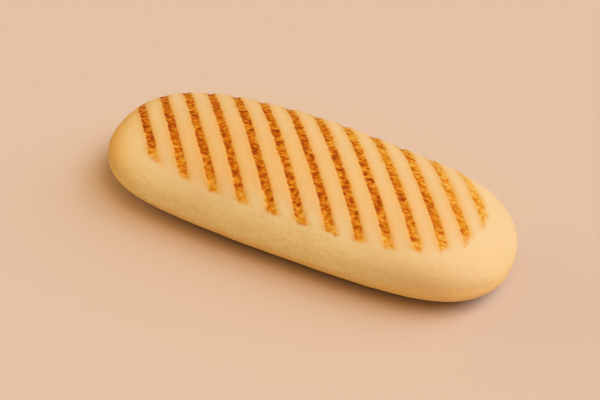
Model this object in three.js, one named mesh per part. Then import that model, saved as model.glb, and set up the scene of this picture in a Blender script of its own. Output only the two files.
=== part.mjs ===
// A grill-marked bread roll, baked and then pressed under a ribbed plate: one solid piece.
// Millimetres, +Z up, +X along the roll. The origin is the bottom centre of the roll's box.
import * as THREE from "three";

// Main sizes
const HALF_LENGTH = 110;
const HALF_WIDTH = 40.4;
const HEIGHT = 46.5;
const WIDEST_LEVEL = 18.2; // height of the widest line of the flanks

// Seen from above and from the side: [end power, root power] of each taper towards the tips.
// A larger end power keeps the roll full for longer, and a larger root power blunts its tips.
const PLAN_TAPER = [4.6, 2.22];
const CROWN_TAPER = [2.1, 2.5];
const BELLY_TAPER = [2.6, 2.95];

// Cross-section: [across power, height power]. 2 and 2 would be an ellipse, and larger is boxier.
const CROWN_SECTION = [2.08, 3.2];
const CROWN_SECTION_SOFTENING = 0.3; // how much the height power drops towards the tips
const BELLY_SECTION = [2.5, 1.92];

// The +X end is a little taller and narrower than the other, and the roll bends slightly.
const PLAN_LEAN = -0.02;
const CROWN_LEAN = 0.03;
const BELLY_LEAN = 0.07;
const BOW = -1.7;

// The base: the belly would reach this much deeper, and the table flattens it.
const BELLY_DEPTH_SHARE = 1.1;
const FOOT_BLEND = 2.4; // height over which the foot curves into the flat base

// Broad, low swells of the dough: where they are on the plan, and how far they stand out.
const SWELL_REACH = 20;
const SWELLS = [
  { x: -82, y: -32, rise: 0.2 },
  { x: -15, y: -37, rise: 0.9 },
  { x: 25, y: -34, rise: 0.7 },
  { x: -13, y: 35, rise: 0.8 },
  { x: 50, y: 39, rise: -0.5 },
  { x: 86, y: 31, rise: 0.9 },
];

// Grill marks: parallel grooves that the plate's ribs pressed across the crown.
const MARK_COUNT = 13;
const MARK_PITCH = 15.9; // along X
const MARK_SLANT = 0.833; // a mark moves this far towards -X for each millimetre towards +Y
const MIDDLE_MARK_X = 1.3; // where the seventh mark crosses the long axis
const MARK_HALF_WIDTH = 2.8; // along X
const MARK_FLOOR_HALF_WIDTH = 1.5;
const MARK_DEPTH = 0.6;
const PLATE_REACH = 10.1; // the plate touched what lies this far below the top, and no lower
const FAR_CORNER_DROP = 8; // the plate pressed this much further down towards the -X +Y corner
const FAR_CORNER_LEAN = 0.3; // how much more the drop follows -X than +Y
const FAR_CORNER_REACH = 35; // how far from the middle the drop is complete
const MARK_END_FADE = 2.5; // height over which a groove runs out at its ends

// How finely the solid is cut into flat faces
const CROWN_STEPS = 30;
const BELLY_STEPS = 22;
const END_SECTIONS = 9;
const SEARCH_STEPS = 60;
const ARC_SAMPLES = 400;

// 1 at the middle of the roll, falling to 0 at its tips.
function taper(x, [endPower, rootPower]) {
  const share = Math.min(1, Math.abs(x) / HALF_LENGTH);
  return (1 - share ** endPower) ** (1 / rootPower);
}

function lean(x, amount) {
  return 1 + (amount * x) / HALF_LENGTH;
}

function bowAt(x) {
  return BOW * ((x / HALF_LENGTH) ** 2 - 1 / 3);
}

function halfWidthAt(x) {
  return HALF_WIDTH * taper(x, PLAN_TAPER) * lean(x, PLAN_LEAN);
}

// How far across the roll a point is: 0 on its middle line and 1 on its outline.
function acrossShare(x, y) {
  const halfWidth = halfWidthAt(x);
  return halfWidth > 0 ? Math.min(1, Math.abs(y - bowAt(x)) / halfWidth) : 1;
}

function crownHeight(x, y) {
  const rise = (HEIGHT - WIDEST_LEVEL) * taper(x, CROWN_TAPER) * lean(x, CROWN_LEAN);
  const [acrossPower, middlePower] = CROWN_SECTION;
  const heightPower = middlePower - CROWN_SECTION_SOFTENING * (x / HALF_LENGTH) ** 2;
  return WIDEST_LEVEL + rise * (1 - acrossShare(x, y) ** acrossPower) ** (1 / heightPower);
}

function bellyHeight(x, y) {
  const drop = BELLY_DEPTH_SHARE * WIDEST_LEVEL * taper(x, BELLY_TAPER) * lean(x, BELLY_LEAN);
  const [acrossPower, heightPower] = BELLY_SECTION;
  return WIDEST_LEVEL - drop * (1 - acrossShare(x, y) ** acrossPower) ** (1 / heightPower);
}

// Heights below the table become 0, with a smooth curve of FOOT_BLEND above it.
function settled(z) {
  const lifted = z + FOOT_BLEND / 2;
  if (lifted <= 0) return 0;
  if (lifted < FOOT_BLEND) return lifted ** 2 / (2 * FOOT_BLEND);
  return z;
}

function swellAt(x, y) {
  return SWELLS.reduce((sum, swell) => {
    const distance = Math.hypot(x - swell.x, y - swell.y) / SWELL_REACH;
    return sum + swell.rise * Math.exp(-(distance ** 2) / 2);
  }, 0);
}

// How deep the plate pressed at a point: full depth on a mark's floor, 0 between marks.
function grooveAt(x, y, z) {
  const fromMiddleMark = (x + MARK_SLANT * y - MIDDLE_MARK_X) / MARK_PITCH;
  const mark = Math.round(fromMiddleMark);
  if (Math.abs(mark) > (MARK_COUNT - 1) / 2) return 0;
  const offset = Math.abs(fromMiddleMark - mark) * MARK_PITCH;
  const wall = 1 - THREE.MathUtils.smoothstep(offset, MARK_FLOOR_HALF_WIDTH, MARK_HALF_WIDTH);
  const farCorner = THREE.MathUtils.smoothstep(y - FAR_CORNER_LEAN * x, 0, FAR_CORNER_REACH);
  const lowest = HEIGHT - PLATE_REACH - FAR_CORNER_DROP * farCorner;
  return MARK_DEPTH * wall * THREE.MathUtils.smoothstep(z, lowest, lowest + MARK_END_FADE);
}

// Moves a point of the plain shape outwards by the swells and inwards by the grooves.
function finished(point) {
  const outward = new THREE.Vector3(0, point.y - bowAt(point.x), point.z - WIDEST_LEVEL);
  outward.normalize();
  const shift = swellAt(point.x, point.y) - grooveAt(point.x, point.y, point.z);
  const moved = point.clone().addScaledVector(outward, shift);
  moved.z = settled(moved.z);
  return moved;
}

// The value between low and high where a falling function crosses 0.
function crossing(fallsTo, low, high) {
  let inside = low;
  let outside = high;
  for (let step = 0; step < SEARCH_STEPS; step += 1) {
    const middle = (inside + outside) / 2;
    if (fallsTo(middle) > 0) inside = middle;
    else outside = middle;
  }
  return inside;
}

// The value between low and high where a function with one peak is highest.
function peak(rises, low, high) {
  let [from, to] = [low, high];
  for (let step = 0; step < SEARCH_STEPS; step += 1) {
    const third = (to - from) / 3;
    if (rises(from + third) < rises(to - third)) from += third;
    else to -= third;
  }
  return (from + to) / 2;
}

// Sections are cut along the marks, so a section is every point with one value of
// station = x + MARK_SLANT * y. The tip of an end is the outline's point of extreme station.
function tipOf(end) {
  const outlineY = (x) => bowAt(x) + end * halfWidthAt(x);
  const station = (x) => end * (x + MARK_SLANT * outlineY(x));
  const x = end > 0 ? peak(station, 0, HALF_LENGTH) : peak(station, -HALF_LENGTH, 0);
  return new THREE.Vector3(x, outlineY(x), WIDEST_LEVEL);
}

// Half of a section's outline, over the crown or under the belly, from its +Y to its -Y side.
class SectionCurve extends THREE.Curve {
  constructor(station, heightAt) {
    super();
    this.station = station;
    this.heightAt = heightAt;
    this.arcLengthDivisions = ARC_SAMPLES;
    const inset = (y) => {
      const x = this.xAt(y);
      return halfWidthAt(x) - Math.abs(y - bowAt(x));
    };
    const innermost = peak(inset, ...this.yWithinLength());
    this.left = crossing(inset, innermost, 2 * HALF_WIDTH);
    this.right = crossing(inset, innermost, -2 * HALF_WIDTH);
  }

  xAt(y) {
    return this.station - MARK_SLANT * y;
  }

  // The stretch of the section where x stays within the roll's length.
  yWithinLength() {
    const low = (this.station - HALF_LENGTH) / MARK_SLANT;
    const high = (this.station + HALF_LENGTH) / MARK_SLANT;
    return [Math.max(low, -HALF_WIDTH), Math.min(high, HALF_WIDTH)];
  }

  getPoint(t, target = new THREE.Vector3()) {
    const share = (1 - Math.cos(Math.PI * t)) / 2;
    const y = THREE.MathUtils.lerp(this.left, this.right, share);
    const x = this.xAt(y);
    return target.set(x, y, this.heightAt(x, y));
  }
}

// A closed ring of points: over the crown, then back under the belly.
function ringAt(station) {
  const over = new SectionCurve(station, crownHeight).getSpacedPoints(CROWN_STEPS);
  const under = new SectionCurve(station, bellyHeight).getSpacedPoints(BELLY_STEPS);
  return [...over.slice(0, -1), ...under.reverse().slice(0, -1)].map(finished);
}

// Stations: both walls of each groove, the middle of each ridge, and closer ones to the tips.
function stationsBetween(tipLow, tipHigh) {
  const reach = (MARK_COUNT - 1) / 2;
  const offsets = [-MARK_HALF_WIDTH, -MARK_FLOOR_HALF_WIDTH, MARK_FLOOR_HALF_WIDTH, MARK_HALF_WIDTH];
  const along = [];
  for (let mark = -reach; mark <= reach; mark += 1) {
    const centre = MIDDLE_MARK_X + mark * MARK_PITCH;
    along.push(...offsets.map((offset) => centre + offset));
    if (mark < reach) along.push(centre + MARK_PITCH / 2);
  }
  const towards = (from, tip) =>
    Array.from({ length: END_SECTIONS }, (_, i) => {
      const share = Math.sin((Math.PI / 2) * ((i + 1) / (END_SECTIONS + 1)));
      return THREE.MathUtils.lerp(from, tip, share);
    });
  return [
    ...towards(along[0], tipLow).reverse(),
    ...along,
    ...towards(along[along.length - 1], tipHigh),
  ];
}

// Skins the rings and closes each end with a fan onto its tip. All faces point outwards.
function skin(rings, lowTip, highTip) {
  const around = rings[0].length;
  const points = [...rings.flat(), lowTip, highTip];
  const lowIndex = points.length - 2;
  const highIndex = points.length - 1;
  const index = [];
  for (let j = 0; j < around; j += 1) {
    const next = (j + 1) % around;
    const last = (rings.length - 1) * around;
    index.push(lowIndex, next, j);
    index.push(last + j, last + next, highIndex);
    for (let i = 0; i < last; i += around) {
      index.push(i + j, i + next, i + around + j);
      index.push(i + next, i + around + next, i + around + j);
    }
  }
  const geometry = new THREE.BufferGeometry().setFromPoints(points);
  geometry.setIndex(index);
  return geometry;
}

function breadRoll() {
  const lowTip = tipOf(-1);
  const highTip = tipOf(1);
  const stationOf = (tip) => tip.x + MARK_SLANT * tip.y;
  const rings = stationsBetween(stationOf(lowTip), stationOf(highTip)).map(ringAt);
  const geometry = skin(rings, finished(lowTip), finished(highTip));
  geometry.computeBoundingBox();
  const { min, max } = geometry.boundingBox;
  geometry.translate(-(min.x + max.x) / 2, -(min.y + max.y) / 2, -min.z);
  geometry.computeVertexNormals();
  const crust = new THREE.MeshStandardMaterial({ color: 0xe6b878, roughness: 0.6, metalness: 0 });
  const mesh = new THREE.Mesh(geometry, crust);
  mesh.name = "bread_roll";
  return mesh;
}

const group = new THREE.Group();
group.add(breadRoll());

export default group;
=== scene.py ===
import math

import bpy
import numpy as np
from mathutils import Matrix, Vector


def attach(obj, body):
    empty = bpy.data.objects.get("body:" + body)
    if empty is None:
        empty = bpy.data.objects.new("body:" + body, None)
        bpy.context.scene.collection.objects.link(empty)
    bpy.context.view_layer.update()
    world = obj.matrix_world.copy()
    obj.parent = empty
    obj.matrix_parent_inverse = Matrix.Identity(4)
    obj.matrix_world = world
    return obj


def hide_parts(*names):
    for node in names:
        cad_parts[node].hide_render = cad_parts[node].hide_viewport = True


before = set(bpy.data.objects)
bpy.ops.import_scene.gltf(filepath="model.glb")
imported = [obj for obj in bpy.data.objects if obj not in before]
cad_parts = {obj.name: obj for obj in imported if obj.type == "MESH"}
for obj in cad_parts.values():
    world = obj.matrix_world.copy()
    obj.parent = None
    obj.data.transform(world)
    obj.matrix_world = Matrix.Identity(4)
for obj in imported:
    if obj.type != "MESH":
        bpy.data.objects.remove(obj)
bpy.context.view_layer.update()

# Everything is in metres, +Z up, +X along the roll, as in the CAD. Right is +X, left is -X,
# the front is -Y and the far side is +Y.
MM = 0.001

# The roll's main sizes
HALF_LENGTH = 110 * MM
HALF_WIDTH = 40.4 * MM
HEIGHT = 46.5 * MM
WIDEST_LEVEL = 18.2 * MM

# Tapers towards the tips and cross-section, as pairs of powers: a larger one is fuller.
PLAN_TAPER = (4.6, 2.22)
CROWN_TAPER = (2.1, 2.5)
BELLY_TAPER = (2.6, 2.95)
CROWN_SECTION = (2.08, 3.2)
CROWN_SECTION_SOFTENING = 0.3
BELLY_SECTION = (2.5, 1.92)
PLAN_LEAN = -0.02
CROWN_LEAN = 0.03
BELLY_LEAN = 0.07
BOW = -1.7 * MM

# The foot, which the table flattens
BELLY_DEPTH_SHARE = 1.1
FOOT_BLEND = 2.4 * MM

# Broad, low swells of the dough: x, y and how far they stand out
SWELL_REACH = 20 * MM
SWELLS = (
    (-82 * MM, -32 * MM, 0.2 * MM),
    (-15 * MM, -37 * MM, 0.9 * MM),
    (25 * MM, -34 * MM, 0.7 * MM),
    (-13 * MM, 35 * MM, 0.8 * MM),
    (50 * MM, 39 * MM, -0.5 * MM),
    (86 * MM, 31 * MM, 0.9 * MM),
)

# Grill marks: lines of constant station, which is x + MARK_SLANT * y
MARK_COUNT = 13
MARK_PITCH = 15.9 * MM
MARK_SLANT = 0.833
MIDDLE_MARK_X = 1.3 * MM
MARK_DEPTH = 0.6 * MM
MARK_HALF_WIDTH = 2.8 * MM
MARK_FLOOR_HALF_WIDTH = 1.5 * MM
PLATE_LEVEL = HEIGHT - 10.1 * MM
FAR_CORNER_DROP = 8 * MM
FAR_CORNER_LEAN = 0.3
FAR_CORNER_REACH = 35 * MM
MARK_END_FADE = 2.5 * MM
STRETCH = math.hypot(1, MARK_SLANT)

# Uneven skin: size, height and seed of each part, and the height from the table where it starts
RELIEF = ((9 * MM, 0.1 * MM, 1), (3.2 * MM, 0.025 * MM, 2))
SCORCHED_RELIEF = (2.2 * MM, 0.12 * MM, 3)
RELIEF_START = 4 * MM

# Noise in the crust's material: size of its features, then detail, roughness and distortion
WAVER = (16 * MM, 1)
RAG = (1.6 * MM, 2, 0.6)
BLOTCHES = (6 * MM, 2, 0.5)
WANDER = (4.5 * MM, 1)
STREAKS = (1.7 * MM, 2, 0.5, 0.6)
CLOTS = (2.4 * MM, 1, 0.5)
MOTTLE = (9 * MM, 3, 0.55)
SPECKLE = (1.6 * MM, 3, 0.6)
STRIPES = (2.2 * MM, 3, 0.6)
PORES = (0.9 * MM, 3, 0.6)
DIMPLES = (4 * MM, 2)

# A noise node gives 0 to 1, mostly near the middle. The gain widens that to about -1 to 1, and
# over the span the noise blends two colours.
NODE_NOISE_GAIN = 4.0
NOISE_SPAN = (-0.9, 0.9)

# Outline of the scorching, square to the mark: half its width, how far noise moves it, how sharp
# its left and right edges are, and how its ends fade
SCORCH_HALF_WIDTH = 2.25 * MM
WAVER_SHIFT = 0.25 * MM
RAG_WIDTH = 0.24 * MM
BLOTCH_WIDTH = 0.2 * MM
SHARPNESS = (0.65, 0.55)
SHARPNESS_SPAN = (-1 * MM, 1 * MM)
EDGE_SPAN = (-0.25 * MM, 0.35 * MM)
ENDS_BLOTCH_SHIFT = 0.5 * MM
ENDS_RAG_SHIFT = 0.3 * MM
ENDS_SPAN = (-1 * MM, 0.6 * MM)

# How far apart the marks are in their noise, so that no two are alike
NOISE_PER_MARK = 370 * MM

# The first mark's front end, which was pressed harder than its height says
FIRST_FRONT_X = (-70 * MM, -84 * MM)
FIRST_FRONT_Y = (2 * MM, -8 * MM)
FIRST_FRONT_RISE = 4 * MM
FIRST_FRONT_ENDS_SHARE = 0.6

# How dark the scorching is, from 0 to 1: by height above the plate's level, and by place
PRESSED_SPAN = (-0.5 * MM, 5.5 * MM)
PRESSED_SCORCH = (0.16, 0.56)
LEFT_TIP_X = (-70 * MM, -95 * MM)
LEFT_TIP_RISE = 5 * MM
RIGHT_TIP_X = (70 * MM, 95 * MM)
RIGHT_TIP_RISE = 3 * MM
# Lighter rim on each mark: partly its soft edge, partly painted light against the shade of the groove
# walls
RIM_LIFT_AND_FILL_SPAN = (0.0, 0.8 * MM)
RIM_LIFT_AND_FILL = -0.18
FAINT_Y = (8 * MM, 36 * MM)
FAINT_LEAN = 0.3
FAINT_SCORCH = -0.2
LIGHTER_X = (20 * MM, 65 * MM)
LIGHTER_SCORCH = -0.05
ACROSS_SCORCH = -0.03 / MM

# Bowed bands and slanted streaks across a mark, and what each noise adds to the scorching
BAND_PITCH = 3.1 * MM
BAND_BOW = 0.06 / MM
BAND_WANDER = 0.55
STREAK_SLOPE = 0.6
STREAK_STRETCH = 0.4
BAND_SCORCH = 0.08
STREAK_SCORCH = 0.3
CLOT_SCORCH = 0.26
BLOTCH_SCORCH = 0.1

# Colours as they would show on the floor, from 0 to 255. Places that get less light have more.
SCORCH_COLOURS = (
    (0.0, (246, 180, 78)),
    (0.22, (238, 154, 34)),
    (0.45, (222, 124, 10)),
    (0.68, (191, 84, 0)),
    (1.0, (150, 55, 0)),
)
PALE = (238, 195, 134)
PALE_PATCH = (247, 209, 154)
# Lighter flank colours: painted fill light, standing in for light that the flanks miss
FLANK_PAINTED_FILL = (275, 243, 172)
FLANK_STRIPE_PAINTED_FILL = (280, 253, 188)
# Low flank colours: painted fill light, lighter than the crown; their deeper gold is partly a toasted
# tone and partly painted warm bounce light from the floor. The low right colour is painted fill light.
LOW_FLANK_PAINTED_FILL = (274, 217, 110)
LOW_FLANK_STRIPE_PAINTED_FILL = (281, 230, 130)
LOW_RIGHT_PAINTED_FILL = (284, 234, 152)
RIGHT_GOLD = (245, 198, 138)
# Left end: the top and low colours are painted fill light, paler than the golden middle, which is the
# crust's own tint
LEFT_TOP_PAINTED_FILL = (256, 213, 143)
LEFT_GOLD = (244, 178, 73)
LEFT_LOW_PAINTED_FILL = (285, 236, 118)
# Far side colour: painted fill light, lighter than the crown
FAR_SIDE_PAINTED_FILL = (266, 212, 146)
TOUCHED = (246, 185, 106)
HALO = (246, 174, 80)
GRAIN = (236, 178, 106)
# Dark base: partly a baked bottom, partly painted shade that deepens the contact shadow on the floor
BASE_AND_PAINTED_SHADE = (140, 74, 20)
FLOOR = (228, 193, 163)

# Where each colour starts and where it is full, how much of it shows, and what shifts its edge.
# The middle is a belt around MIDDLE_X that fades out over MIDDLE_REACH on both sides.
PATCH_SHARE = 0.6
STRIPE_STRETCH = 0.35
HEIGHT_MOTTLE = 1.5 * MM
MIDDLE_X = 12 * MM
MIDDLE_REACH = (15 * MM, 55 * MM)
# Painted fill light on the flanks: where it starts and is full, and how much higher it reaches in the
# middle
FLANK_FILL_Z = (40 * MM, 22 * MM)
FLANK_FILL_MIDDLE_SHIFT = -4 * MM
# Painted fill light low down: its heights, and how much higher it reaches at the right end
LOW_FILL_Z = (23 * MM, 10 * MM)
LOW_RIGHT_FILL_X = (50 * MM, 105 * MM)
LOW_RIGHT_FILL_SHIFT = -5 * MM
RIGHT_GOLD_X = (30 * MM, 90 * MM)
RIGHT_GOLD_Z = (42 * MM, 30 * MM)
RIGHT_GOLD_SHARE = 0.8
LEFT_END_X = (-68 * MM, -106 * MM)
LEFT_END_MOTTLE = 3 * MM
LEFT_END_SHARE = 0.95
# Heights of the painted fill light on the left end's top, and of the gold above the painted fill low
# down
LEFT_TOP_FILL_Z = (27 * MM, 37 * MM)
LEFT_GOLD_Z = (16 * MM, 26 * MM)
LEFT_FOOT_Z = (8 * MM, 16 * MM)
LEFT_FOOT_SHARE = 0.6
# Where the painted fill light on the far side starts and is full, and how much of it shows
FAR_SIDE_FILL_Y = (12 * MM, 32 * MM)
FAR_SIDE_FILL_SHARE = 0.6
GRAIN_SPAN = (-0.8, 0.8)
GRAIN_SHARE = 0.2
# Heights and unevenness of the dark base, partly painted shade
BASE_SHADE_Z = (9 * MM, 2 * MM)
BASE_SHADE_MOTTLE = 1 * MM

# Warm crust where the plate touched it, by height above the plate's level, and beside the marks
TOUCH_SPAN = (-1.5 * MM, 4.5 * MM)
TOUCH_SHARE = 0.8
TOUCH_MIDDLE_SHIFT = -3.5 * MM
TOUCH_LEFT_X = (-102 * MM, -50 * MM)
TOUCH_LEFT_SHARE = 0.2
TOUCH_RIGHT_X = (-5 * MM, 22 * MM)
TOUCH_RIGHT_SHARE = 0.75
TOUCH_FAR_Y = (-10 * MM, 25 * MM)
TOUCH_FAR_SHARE = 0.5
TOUCH_MOTTLE = 0.1
HALO_SPAN = (-3.2 * MM, 0.3 * MM)
HALO_SHARE = 0.75
HALO_BLOTCH = 0.2

# Gloss, and relief too fine for the mesh
ROUGHNESS = 0.55
SCORCHED_ROUGHNESS = 0.12
SPECKLE_ROUGHNESS = 0.04
SPECULAR = 0.07
PORE_HEIGHT = 0.03 * MM
DIMPLE_HEIGHT = 0.05 * MM
STREAK_HEIGHT = 0.1 * MM
RAG_HEIGHT = 0.05 * MM

# Floor
FLOOR_SIZE = 6
FLOOR_ROUGHNESS = 0.8
FLOOR_SPECULAR = 0.1

# Studio light: what a floor patch shows over its base colour, the suns' width in degrees, and for
# each sun its azimuth and elevation in degrees and what it adds to the floor in red, green and blue
STUDIO_LIGHT = 1.32
SUN_SPREAD = 40
SUNS = (
    ("front", 45, 65, (0.43, 0.25, 0.06)),
    ("key", 96, 60, (0.37, 0.53, 0.685)),
    ("back", 130, 38, (0.14, 0.20, 0.34)),
    ("left", -90, 20, (0.09, 0.08, 0.055)),
)
ROOM_LIGHT = (0.29, 0.26, 0.18)

# Mesh
SECTIONS = 270
CROWN_POINTS = 230
BELLY_POINTS = 130
CURVE_SAMPLES = 700
SEARCH_STEPS = 60
END_CROWDING = 0.8
NOISE_TABLE = 256
NOISE_GAIN = 1.6
TINY = 1e-9

# sRGB's curve: its straight part's end and slope, then its bent part's offset and power
SRGB_BEND = 0.04045
SRGB_SLOPE = 12.92
SRGB_OFFSET = 0.055
SRGB_POWER = 2.4

# Camera
CAMERA_TURN = math.radians(27.49)
CAMERA_RISE = math.radians(44.79)
CAMERA_ROLL = math.radians(-0.93)
CAMERA_DISTANCE = 715.8 * MM
CAMERA_AIM = Vector((-2.59, -3.06, 15)) * MM
LENS = 85


def taper(x, powers):
    """1 at the middle of the roll, falling to 0 at its tips."""
    share = np.minimum(1, np.abs(x) / HALF_LENGTH)
    return (1 - share ** powers[0]) ** (1 / powers[1])


def lean(x, amount):
    """1 at the middle of the roll, and larger by that amount at its +X tip."""
    return 1 + amount * x / HALF_LENGTH


def bow_at(x):
    """How far the slightly bent middle line is towards +Y."""
    return BOW * ((x / HALF_LENGTH) ** 2 - 1 / 3)


def half_width_at(x):
    return HALF_WIDTH * taper(x, PLAN_TAPER) * lean(x, PLAN_LEAN)


def across_share(x, y):
    """0 on the roll's middle line and 1 on its outline."""
    half_width = np.maximum(half_width_at(x), TINY)
    return np.minimum(1, np.abs(y - bow_at(x)) / half_width)


def crown_height(x, y):
    rise = (HEIGHT - WIDEST_LEVEL) * taper(x, CROWN_TAPER) * lean(x, CROWN_LEAN)
    power = CROWN_SECTION[1] - CROWN_SECTION_SOFTENING * (x / HALF_LENGTH) ** 2
    return WIDEST_LEVEL + rise * (1 - across_share(x, y) ** CROWN_SECTION[0]) ** (1 / power)


def belly_height(x, y):
    drop = BELLY_DEPTH_SHARE * WIDEST_LEVEL * taper(x, BELLY_TAPER) * lean(x, BELLY_LEAN)
    share = across_share(x, y) ** BELLY_SECTION[0]
    return WIDEST_LEVEL - drop * (1 - share) ** (1 / BELLY_SECTION[1])


def settled(z):
    """Heights below the table become 0, with a smooth curve of FOOT_BLEND above it."""
    lifted = z + FOOT_BLEND / 2
    curve = np.clip(lifted, 0, FOOT_BLEND) ** 2 / (2 * FOOT_BLEND)
    return np.where(lifted < FOOT_BLEND, curve, z)


def smoothstep(value, low, high):
    share = np.clip((value - low) / (high - low), 0, 1)
    return share * share * (3 - 2 * share)


def swell_at(x, y):
    """How far the dough stands out there."""
    total = np.zeros_like(x)
    for swell_x, swell_y, rise in SWELLS:
        distance = np.hypot(x - swell_x, y - swell_y) / SWELL_REACH
        total += rise * np.exp(-(distance**2) / 2)
    return total


def groove_at(x, y, z):
    """How deep the plate pressed: full depth on a mark's floor, 0 between marks."""
    from_middle = (x + MARK_SLANT * y - MIDDLE_MARK_X) / MARK_PITCH
    reach = (MARK_COUNT - 1) / 2
    mark = np.clip(np.round(from_middle), -reach, reach)
    offset = np.abs(from_middle - mark) * MARK_PITCH
    profile = 1 - smoothstep(offset, MARK_FLOOR_HALF_WIDTH, MARK_HALF_WIDTH)
    lowest = PLATE_LEVEL - FAR_CORNER_DROP * smoothstep(y - FAR_CORNER_LEAN * x, 0, FAR_CORNER_REACH)
    return MARK_DEPTH * profile * smoothstep(z, lowest, lowest + MARK_END_FADE)


def noise(points, size, seed):
    """Smooth gradient noise, about -1 to 1, with features of that size."""
    random = np.random.default_rng(seed)
    gradients = random.normal(size=(NOISE_TABLE, 3))
    gradients /= np.linalg.norm(gradients, axis=1, keepdims=True)
    order = random.permutation(NOISE_TABLE)
    cell = np.floor(points / size).astype(int)
    inside = points / size - cell
    blend = inside**3 * (inside * (inside * 6 - 15) + 10)
    total = np.zeros(len(points))
    for corner in np.ndindex(2, 2, 2):
        key = np.zeros(len(points), int)
        weight = np.ones(len(points))
        for axis in range(3):
            key = order[(key + cell[:, axis] + corner[axis]) % NOISE_TABLE]
            weight *= blend[:, axis] if corner[axis] else 1 - blend[:, axis]
        total += weight * np.sum(gradients[key] * (inside - corner), axis=1)
    return NOISE_GAIN * total


def finished(points):
    """Moves points of the plain shape outwards by the swells and inwards by the grooves."""
    x, y, z = points.T
    outward = np.stack([np.zeros_like(x), y - bow_at(x), z - WIDEST_LEVEL], axis=1)
    outward /= np.maximum(np.linalg.norm(outward, axis=1, keepdims=True), TINY)
    shift = swell_at(x, y) - groove_at(x, y, z)
    moved = points + outward * shift[:, None]
    moved[:, 2] = settled(moved[:, 2])
    return moved


def peak(rises, low, high):
    """Where functions with one peak each are highest, between arrays low and high."""
    low, high = np.array(low, float), np.array(high, float)
    for _ in range(SEARCH_STEPS):
        third = (high - low) / 3
        climbs = rises(low + third) < rises(high - third)
        low = np.where(climbs, low + third, low)
        high = np.where(climbs, high, high - third)
    return (low + high) / 2


def crossing(falls, inside, outside):
    """Where functions that fall from inside to outside cross 0."""
    for _ in range(SEARCH_STEPS):
        middle = (inside + outside) / 2
        above = falls(middle) > 0
        inside = np.where(above, middle, inside)
        outside = np.where(above, outside, middle)
    return inside


def tip(end):
    """The outline's point of extreme station at one end, where the sections close."""
    def outline_y(x):
        return bow_at(x) + end * half_width_at(x)

    def station(x):
        return end * (x + MARK_SLANT * outline_y(x))

    x = peak(station, [min(0, end * HALF_LENGTH)], [max(0, end * HALF_LENGTH)])
    return np.array([x[0], outline_y(x)[0], WIDEST_LEVEL])


def chords(stations):
    """The +Y and -Y ends of each section on the roll's outline."""
    def inset(y):
        x = stations - MARK_SLANT * y
        return half_width_at(x) - np.abs(y - bow_at(x))

    low = np.maximum((stations - HALF_LENGTH) / MARK_SLANT, -HALF_WIDTH)
    high = np.minimum((stations + HALF_LENGTH) / MARK_SLANT, HALF_WIDTH)
    innermost = peak(inset, low, high)
    reach = np.full_like(stations, 2 * HALF_WIDTH)
    return crossing(inset, innermost, reach), crossing(inset, innermost, -reach)


def half_ring(station, left, right, height_at, count):
    """Evenly spaced points over the crown or under the belly, from +Y to -Y."""
    share = (1 - np.cos(np.linspace(0, np.pi, CURVE_SAMPLES))) / 2
    y = left + (right - left) * share
    x = station - MARK_SLANT * y
    points = np.stack([x, y, height_at(x, y)], axis=1)
    steps = np.linalg.norm(np.diff(points, axis=0), axis=1)
    travelled = np.concatenate([[0], np.cumsum(steps)])
    wanted = np.linspace(0, travelled[-1], count + 1)
    return np.stack([np.interp(wanted, travelled, points[:, i]) for i in range(3)], axis=1)


def ring(station, left, right):
    """A closed section of the plain shape: over the crown, then back under the belly."""
    over = half_ring(station, left, right, crown_height, CROWN_POINTS)
    under = half_ring(station, left, right, belly_height, BELLY_POINTS)
    return np.concatenate([over[:-1], under[:0:-1]])


def station_list(low, high):
    """Even steps along the roll that get closer towards both tips."""
    share = np.arange(1, SECTIONS + 1) / (SECTIONS + 1)
    eased = share - END_CROWDING * np.sin(2 * np.pi * share) / (2 * np.pi)
    return low + (high - low) * eased


def roll_mesh():
    """The roll's points, and its faces as lists of point numbers."""
    low_tip, high_tip = tip(-1), tip(1)
    low, high = (t[0] + MARK_SLANT * t[1] for t in (low_tip, high_tip))
    stations = station_list(low, high)
    rings = [ring(*row) for row in zip(stations, *chords(stations))]
    points = finished(np.concatenate(rings + [[low_tip], [high_tip]]))
    around = CROWN_POINTS + BELLY_POINTS
    grid = np.arange(SECTIONS * around).reshape(SECTIONS, around)
    after = np.roll(grid, -1, axis=1)
    quads = np.stack([grid[:-1], after[:-1], after[1:], grid[1:]], axis=2).reshape(-1, 4)
    low_fan = [(len(points) - 2, b, a) for a, b in zip(grid[0], after[0])]
    high_fan = [(len(points) - 1, a, b) for a, b in zip(grid[-1], after[-1])]
    return points, quads.tolist() + low_fan + high_fan


def add_relief(mesh, scorched):
    """Presses the skin's unevenness inwards, so that the roll's size stays, but not on the flat foot."""
    points = np.empty(3 * len(mesh.vertices))
    normals = np.empty_like(points)
    mesh.vertices.foreach_get("co", points)
    mesh.vertex_normals.foreach_get("vector", normals)
    points = points.reshape(-1, 3)
    depth = sum(height * (1 + noise(points, size, seed)) for size, height, seed in RELIEF)
    size, height, seed = SCORCHED_RELIEF
    depth += scorched * height * (1 + noise(points, size, seed))
    depth *= smoothstep(points[:, 2], 0, RELIEF_START)
    points -= normals.reshape(-1, 3) * depth[:, None]
    mesh.vertices.foreach_set("co", points.ravel())
    mesh.update()


def make_roll():
    points, faces = roll_mesh()
    scorched = groove_at(*points.T) / MARK_DEPTH
    middle = (points.min(axis=0) + points.max(axis=0)) / 2
    points = points - [middle[0], middle[1], 0]
    mesh = bpy.data.meshes.new("roll")
    mesh.from_pydata(points.tolist(), [], faces)
    mesh.shade_smooth()
    add_relief(mesh, scorched)
    piece = bpy.data.objects.new("roll", mesh)
    bpy.context.scene.collection.objects.link(piece)
    middle_station = MIDDLE_MARK_X - middle[0] - MARK_SLANT * middle[1]
    mesh.materials.append(crust_material(middle_station))
    return piece


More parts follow.
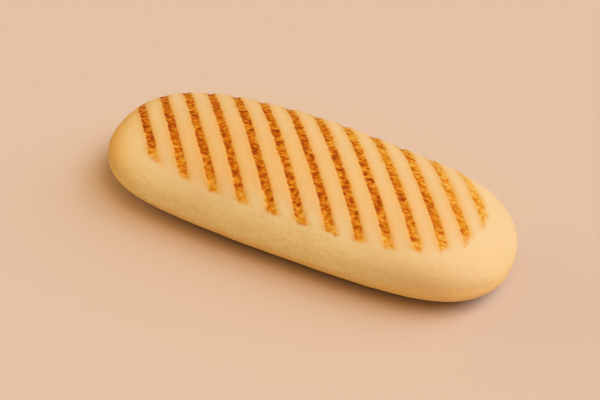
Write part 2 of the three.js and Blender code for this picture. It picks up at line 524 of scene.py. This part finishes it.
def make_camera():
    turn, rise = CAMERA_TURN, CAMERA_RISE
    back = Vector((math.sin(turn) * math.cos(rise), -math.cos(turn) * math.cos(rise), math.sin(rise)))
    right = Vector((math.cos(turn), math.sin(turn), 0))
    up = back.cross(right)
    tilted_right = right * math.cos(CAMERA_ROLL) + up * math.sin(CAMERA_ROLL)
    tilted_up = up * math.cos(CAMERA_ROLL) - right * math.sin(CAMERA_ROLL)
    data = bpy.data.cameras.new("camera")
    data.lens = LENS
    camera = bpy.data.objects.new("camera", data)
    bpy.context.scene.collection.objects.link(camera)
    place = Matrix((tilted_right, tilted_up, back)).transposed().to_4x4()
    place.translation = CAMERA_AIM + back * CAMERA_DISTANCE
    camera.matrix_world = place
    bpy.context.scene.camera = camera


class Material:
    """Builds a node material. A value is a number, a colour or another node's output."""

    def __init__(self, name):
        self.data = bpy.data.materials.new(name)
        self.data.use_nodes = True
        self.tree = self.data.node_tree
        self.shader = self.tree.nodes["Principled BSDF"]

    def put(self, socket, value):
        if isinstance(value, bpy.types.NodeSocket):
            self.tree.links.new(value, socket)
        else:
            socket.default_value = value

    def node(self, kind, inputs=(), **settings):
        made = self.tree.nodes.new(kind)
        for key, value in settings.items():
            setattr(made, key, value)
        for key, value in dict(inputs).items():
            self.put(made.inputs[key], value)
        return made

    def maths(self, operation, *values):
        made = self.node("ShaderNodeMath", operation=operation)
        for socket, value in zip(made.inputs, values):
            self.put(socket, value)
        return made.outputs[0]

    def add(self, *values):
        total = values[0]
        for value in values[1:]:
            total = self.maths("ADD", total, value)
        return total

    def times(self, *values):
        product = values[0]
        for value in values[1:]:
            product = self.maths("MULTIPLY", product, value)
        return product

    def plus(self, value, other, share):
        """value + other * share"""
        return self.add(value, self.times(other, share))

    def step(self, value, span, at_start=0.0, at_finish=1.0):
        """A smooth change from at_start to at_finish over a span, whose start may be the larger."""
        inputs = {"Value": value, "From Min": span[0], "From Max": span[1]}
        inputs.update({"To Min": at_start, "To Max": at_finish})
        made = self.node("ShaderNodeMapRange", inputs, interpolation_type="SMOOTHSTEP")
        return made.outputs["Result"]

    def point(self, x, y, z):
        return self.node("ShaderNodeCombineXYZ", {"X": x, "Y": y, "Z": z}).outputs[0]

    def noise(self, place, size, detail=2.0, roughness=0.5, distortion=0.0):
        """Between about -1 and 1, with features of that size."""
        inputs = {"Vector": place, "Scale": 1 / size, "Detail": detail}
        inputs.update({"Roughness": roughness, "Distortion": distortion})
        made = self.node("ShaderNodeTexNoise", inputs)
        return self.maths("MULTIPLY_ADD", made.outputs["Fac"], NODE_NOISE_GAIN, -NODE_NOISE_GAIN / 2)

    def mix(self, share, first, second):
        """A colour mix. On this node, colours go into sockets 6 and 7 and come out of socket 2."""
        made = self.node("ShaderNodeMix", {0: share, 6: first, 7: second}, data_type="RGBA")
        return made.outputs[2]

    def ramp(self, value, *stops):
        made = self.node("ShaderNodeValToRGB", {"Fac": value})
        elements = made.color_ramp.elements
        while len(elements) < len(stops):
            elements.new(0.5)
        for element, (place, colour) in zip(elements, stops):
            element.position = place
            element.color = colour
        return made.outputs["Color"]


def linear(share):
    """sRGB's 0 to 1 as a share of light, and beyond 1 by the same curve."""
    if share <= SRGB_BEND:
        return share / SRGB_SLOPE
    return ((share + SRGB_OFFSET) / (1 + SRGB_OFFSET)) ** SRGB_POWER


def tone(red, green, blue):
    """The base colour that shows as these 0 to 255 values where the light is as on the floor."""
    shares = (value / 255 for value in (red, green, blue))
    return (*(linear(share) / STUDIO_LIGHT for share in shares), 1.0)


class Crust(Material):
    """The crust and its scorched grill marks, all placed by the roll's own coordinates.

    What several of its colours share is made first: the place, its noises and the marks.
    """

    def __init__(self, middle_station):
        super().__init__("crust")
        self.place = self.node("ShaderNodeTexCoord").outputs["Object"]
        apart = self.node("ShaderNodeSeparateXYZ", {"Vector": self.place})
        self.x, self.y, self.z = (apart.outputs[i] for i in range(3))
        self.mottle = self.noise(self.place, *MOTTLE)
        self.speckle = self.noise(self.place, *SPECKLE)
        self.uneven_z = self.plus(self.z, self.mottle, HEIGHT_MOTTLE)
        from_middle = self.maths("ABSOLUTE", self.add(self.x, -MIDDLE_X))
        self.middle = self.step(from_middle, MIDDLE_REACH, 1.0, 0.0)
        self.find_stripes()
        self.find_marks(middle_station)
        self.find_scorch_noises()
        self.outline_marks()

    def find_stripes(self):
        """Fine stripes along the flanks, from 0 to 1."""
        stretched = self.point(self.times(self.x, STRIPE_STRETCH), self.y, self.z)
        self.stripes = self.step(self.noise(stretched, *STRIPES), NOISE_SPAN)

    def find_marks(self, middle_station):
        """Signed distance across the nearest mark, distance along it, and the mark's number."""
        station = self.add(self.x, self.times(self.y, MARK_SLANT), -middle_station)
        reach = (MARK_COUNT - 1) / 2
        number = self.maths("ROUND", self.maths("DIVIDE", station, MARK_PITCH))
        self.number = self.maths("MINIMUM", self.maths("MAXIMUM", number, -reach), reach)
        offset = self.maths("SUBTRACT", station, self.times(self.number, MARK_PITCH))
        along_y = self.times(self.y, 1 / STRETCH)
        self.along = self.maths("SUBTRACT", along_y, self.times(self.x, MARK_SLANT / STRETCH))
        waver = self.noise(self.place, *WAVER)
        self.across = self.plus(self.times(offset, 1 / STRETCH), waver, WAVER_SHIFT)

    def on_mark(self, along, across):
        """A point in the marks' own coordinates, with other noise on each mark."""
        return self.point(along, across, self.times(self.number, NOISE_PER_MARK))

    def find_scorch_noises(self):
        """Noises that follow the marks: ragged edges, blotches and slanted streaks."""
        self.local = self.on_mark(self.along, self.across)
        self.rag = self.noise(self.local, *RAG)
        self.blotches = self.noise(self.local, *BLOTCHES)
        slanted = self.plus(self.along, self.across, STREAK_SLOPE)
        squeezed = self.on_mark(slanted, self.times(self.across, STREAK_STRETCH))
        self.streaks = self.noise(squeezed, *STREAKS)

    def outline_marks(self):
        """How much each place is a mark, which fades out where the crown drops below the plate."""
        width = self.plus(SCORCH_HALF_WIDTH, self.rag, RAG_WIDTH)
        width = self.plus(width, self.blotches, BLOTCH_WIDTH)
        self.inside = self.maths("SUBTRACT", width, self.maths("ABSOLUTE", self.across))
        sharpness = self.step(self.across, SHARPNESS_SPAN, *SHARPNESS)
        edge = self.step(self.times(self.inside, sharpness), EDGE_SPAN)
        corner = self.plus(self.y, self.x, -FAR_CORNER_LEAN)
        drop = self.step(corner, (0.0, FAR_CORNER_REACH), 0.0, FAR_CORNER_DROP)
        self.above = self.add(self.z, -PLATE_LEVEL, drop)
        first_x = self.step(self.x, FIRST_FRONT_X)
        self.first_front = self.times(first_x, self.step(self.y, FIRST_FRONT_Y, 0.0, FIRST_FRONT_RISE))
        ragged = self.plus(self.above, self.blotches, ENDS_BLOTCH_SHIFT)
        ragged = self.plus(ragged, self.rag, ENDS_RAG_SHIFT)
        ragged = self.plus(ragged, self.first_front, FIRST_FRONT_ENDS_SHARE)
        self.ends = self.step(ragged, ENDS_SPAN)
        self.mark = self.times(edge, self.ends)

    def scorch_bands(self):
        """-1 to 1 in bowed bands across each mark."""
        bow = self.times(self.across, self.across, BAND_BOW)
        turns = self.times(self.add(self.along, bow), 1 / BAND_PITCH)
        turns = self.plus(turns, self.noise(self.local, *WANDER), BAND_WANDER)
        return self.maths("SINE", self.times(turns, 2 * math.pi))

    def scorch_colour(self):
        """Dark where the plate pressed hard, lighter on each mark's right-hand side, and lighter on its
        rim, which is partly its soft edge and partly painted light against the groove walls' shade.
        """
        left_tip = self.step(self.x, LEFT_TIP_X, 0.0, LEFT_TIP_RISE)
        right_tip = self.step(self.x, RIGHT_TIP_X, 0.0, RIGHT_TIP_RISE)
        height = self.add(self.above, left_tip, right_tip, self.first_front)
        pressed = self.step(height, PRESSED_SPAN, *PRESSED_SCORCH)
        faint = self.step(self.plus(self.y, self.x, FAINT_LEAN), FAINT_Y, 0.0, FAINT_SCORCH)
        lighter = self.step(self.x, LIGHTER_X, 0.0, LIGHTER_SCORCH)
        # Lighter rim: partly the soft edge, partly painted light against the groove walls' shade
        rim_lift_and_fill = self.step(self.inside, RIM_LIFT_AND_FILL_SPAN, RIM_LIFT_AND_FILL, 0.0)
        scorch = self.add(
            pressed,
            faint,
            lighter,
            rim_lift_and_fill,
            self.times(self.scorch_bands(), BAND_SCORCH),
            self.times(self.streaks, STREAK_SCORCH),
            self.times(self.noise(self.local, *CLOTS), CLOT_SCORCH),
            self.times(self.blotches, BLOTCH_SCORCH),
            self.times(self.across, ACROSS_SCORCH),
        )
        return self.ramp(scorch, *((place, tone(*colour)) for place, colour in SCORCH_COLOURS))

    def crown_and_flank_fill_colour(self):
        """Pale and patchy on the crown, and lighter and striped down the flanks, where the lighter
        colour is painted fill light.
        """
        patches = self.add(self.times(self.mottle, PATCH_SHARE), self.times(self.speckle, PATCH_SHARE))
        patchy = self.step(patches, NOISE_SPAN)
        # Painted fill light down the flanks, lighter than the crown
        flank_fill = self.step(self.plus(self.uneven_z, self.middle, FLANK_FILL_MIDDLE_SHIFT), FLANK_FILL_Z)
        crown_colour = self.mix(patchy, tone(*PALE), tone(*PALE_PATCH))
        flank_fill_colour = self.mix(self.stripes, tone(*FLANK_PAINTED_FILL), tone(*FLANK_STRIPE_PAINTED_FILL))
        return self.mix(flank_fill, crown_colour, flank_fill_colour)

    def right_gold_and_low_fill_colour(self, body):
        """Golden towards the right end. Low down, painted fill light makes the crust lighter, and its
        deeper gold is partly a toasted tone and partly painted warm bounce light from the floor.
        """
        gold = self.step(self.x, RIGHT_GOLD_X, 0.0, RIGHT_GOLD_SHARE)
        gold = self.times(gold, self.step(self.z, RIGHT_GOLD_Z))
        body = self.mix(gold, body, tone(*RIGHT_GOLD))
        # Painted fill light low down, reaching higher at the right end, with painted warm bounce in its
        # gold
        right = self.step(self.x, LOW_RIGHT_FILL_X)
        low = self.step(self.plus(self.uneven_z, right, LOW_RIGHT_FILL_SHIFT), LOW_FILL_Z)
        low_fill_colour = self.mix(self.stripes, tone(*LOW_FLANK_PAINTED_FILL), tone(*LOW_FLANK_STRIPE_PAINTED_FILL))
        return self.mix(low, body, self.mix(right, low_fill_colour, tone(*LOW_RIGHT_PAINTED_FILL)))

    def left_end_and_far_fill_colour(self, body):
        """The golden left end, paler on top and low down by painted fill light, and the far side,
        lighter by painted fill light.
        """
        uneven_x = self.plus(self.x, self.mottle, LEFT_END_MOTTLE)
        end = self.step(uneven_x, LEFT_END_X, 0.0, LEFT_END_SHARE)
        end = self.times(end, self.step(self.z, LEFT_FOOT_Z, LEFT_FOOT_SHARE, 1.0))
        # The left end's gold, with painted fill light low down and on top
        left_end_gold_and_fill_colour = self.mix(self.step(self.z, LEFT_GOLD_Z), tone(*LEFT_LOW_PAINTED_FILL), tone(*LEFT_GOLD))
        left_end_gold_and_fill_colour = self.mix(self.step(self.z, LEFT_TOP_FILL_Z), left_end_gold_and_fill_colour, tone(*LEFT_TOP_PAINTED_FILL))
        body = self.mix(end, body, left_end_gold_and_fill_colour)
        # Painted fill light on the far side
        return self.mix(self.step(self.y, FAR_SIDE_FILL_Y, 0.0, FAR_SIDE_FILL_SHARE), body, tone(*FAR_SIDE_PAINTED_FILL))

    def toasted_colour(self, body):
        """Warmer where the plate touched the crust, and most beside the marks."""
        contact = self.plus(self.above, self.middle, TOUCH_MIDDLE_SHIFT)
        touched = self.times(
            self.step(contact, TOUCH_SPAN, 0.0, TOUCH_SHARE),
            self.step(self.x, TOUCH_LEFT_X, TOUCH_LEFT_SHARE, 1.0),
            self.step(self.y, TOUCH_FAR_Y, 1.0, TOUCH_FAR_SHARE),
            self.step(self.x, TOUCH_RIGHT_X, 1.0, TOUCH_RIGHT_SHARE),
        )
        body = self.mix(self.plus(touched, self.mottle, TOUCH_MOTTLE), body, tone(*TOUCHED))
        strength = self.plus(HALO_SHARE, self.blotches, HALO_BLOTCH)
        halo = self.times(self.step(self.inside, HALO_SPAN), self.ends, strength)
        return self.mix(halo, body, tone(*HALO))

    def grain_and_shaded_base_colour(self, body):
        """A fine grain all over, and the dark brown base, partly a baked bottom and partly painted shade
        that deepens the contact shadow on the floor.
        """
        grain = self.step(self.speckle, GRAIN_SPAN, 0.0, GRAIN_SHARE)
        body = self.mix(grain, body, tone(*GRAIN))
        # Dark base, partly painted shade that deepens the contact shadow on the floor
        base_and_shade = self.step(self.plus(self.z, self.mottle, BASE_SHADE_MOTTLE), BASE_SHADE_Z)
        return self.mix(base_and_shade, body, tone(*BASE_AND_PAINTED_SHADE))

    def add_gloss(self):
        rough = self.plus(ROUGHNESS, self.mark, SCORCHED_ROUGHNESS)
        rough = self.plus(rough, self.speckle, SPECKLE_ROUGHNESS)
        self.put(self.shader.inputs["Roughness"], rough)
        self.put(self.shader.inputs["Specular IOR Level"], SPECULAR)

    def add_fine_relief(self):
        pores = self.times(self.noise(self.place, *PORES), PORE_HEIGHT)
        skin = self.plus(pores, self.noise(self.place, *DIMPLES), DIMPLE_HEIGHT)
        char = self.plus(self.times(self.streaks, STREAK_HEIGHT), self.rag, RAG_HEIGHT)
        height = self.add(skin, self.times(self.mark, char))
        bump = self.node("ShaderNodeBump", {"Height": height, "Distance": 1.0})
        self.put(self.shader.inputs["Normal"], bump.outputs["Normal"])


def crust_material(middle_station):
    crust = Crust(middle_station)
    body = crust.crown_and_flank_fill_colour()
    body = crust.right_gold_and_low_fill_colour(body)
    body = crust.left_end_and_far_fill_colour(body)
    body = crust.toasted_colour(body)
    body = crust.grain_and_shaded_base_colour(body)
    colour = crust.mix(crust.mark, body, crust.scorch_colour())
    crust.put(crust.shader.inputs["Base Color"], colour)
    crust.add_gloss()
    crust.add_fine_relief()
    return crust.data


def floor_material():
    paper = Material("floor")
    paper.put(paper.shader.inputs["Base Color"], tone(*FLOOR))
    paper.put(paper.shader.inputs["Roughness"], FLOOR_ROUGHNESS)
    paper.put(paper.shader.inputs["Specular IOR Level"], FLOOR_SPECULAR)
    return paper.data


def make_floor():
    bpy.ops.mesh.primitive_plane_add(size=FLOOR_SIZE)
    floor = bpy.context.active_object
    floor.name = "floor"
    floor.data.materials.append(floor_material())
    return floor


def sun(name, azimuth, elevation, colour):
    """A far, soft light. Azimuth 0 shines from -Y and 90 from +X, in degrees.

    The colour is what it adds to a floor patch, where 1 shows the floor's base colour as it is.
    """
    data = bpy.data.lights.new(name, "SUN")
    data.angle = math.radians(SUN_SPREAD)
    turn, rise = math.radians(azimuth), math.radians(elevation)
    strength = max(colour)
    data.color = [part / strength for part in colour]
    data.energy = math.pi * strength / math.sin(rise)
    light = bpy.data.objects.new(name, data)
    bpy.context.scene.collection.objects.link(light)
    source = Vector((math.sin(turn) * math.cos(rise), -math.cos(turn) * math.cos(rise), math.sin(rise)))
    light.rotation_mode = "QUATERNION"
    light.rotation_quaternion = source.to_track_quat("Z", "Y")


def room_light(colour):
    world = bpy.data.worlds.new("room")
    world.use_nodes = True
    background = world.node_tree.nodes["Background"]
    background.inputs["Color"].default_value = (*colour, 1)
    bpy.context.scene.world = world


make_camera()
bpy.context.scene.view_settings.view_transform = "Standard"
room_light(ROOM_LIGHT)
for row in SUNS:
    sun(*row)
floor = make_floor()
roll = make_roll()
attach(roll, "root")
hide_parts("bread_roll")
